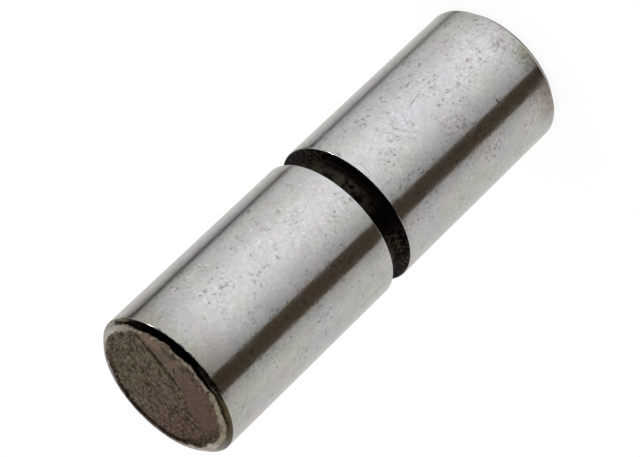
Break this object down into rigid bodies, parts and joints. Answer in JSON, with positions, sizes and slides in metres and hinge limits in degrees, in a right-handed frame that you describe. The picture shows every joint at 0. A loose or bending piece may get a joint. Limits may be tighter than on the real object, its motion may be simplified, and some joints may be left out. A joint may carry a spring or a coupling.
{
  "type": "pivot pin",
  "caption": "Plain turned steel pivot pin with a chamfer at each end, a rounded rim at the top end and a square retaining groove round its middle.",
  "frame": {"origin": "middle of the foot face, which the pin stands on", "axes": "+Z along the pin's axis, from the foot to the top end that the picture shows"},
  "size_m": [0.018, 0.018, 0.0573],
  "materials": {
    "pin_steel": "ground bright round the outside, with dark scale left on the ends and in the groove"
  },
  "bodies": {
    "root": {"pivot_pin": "pin_steel"}
  },
  "joints": []
}
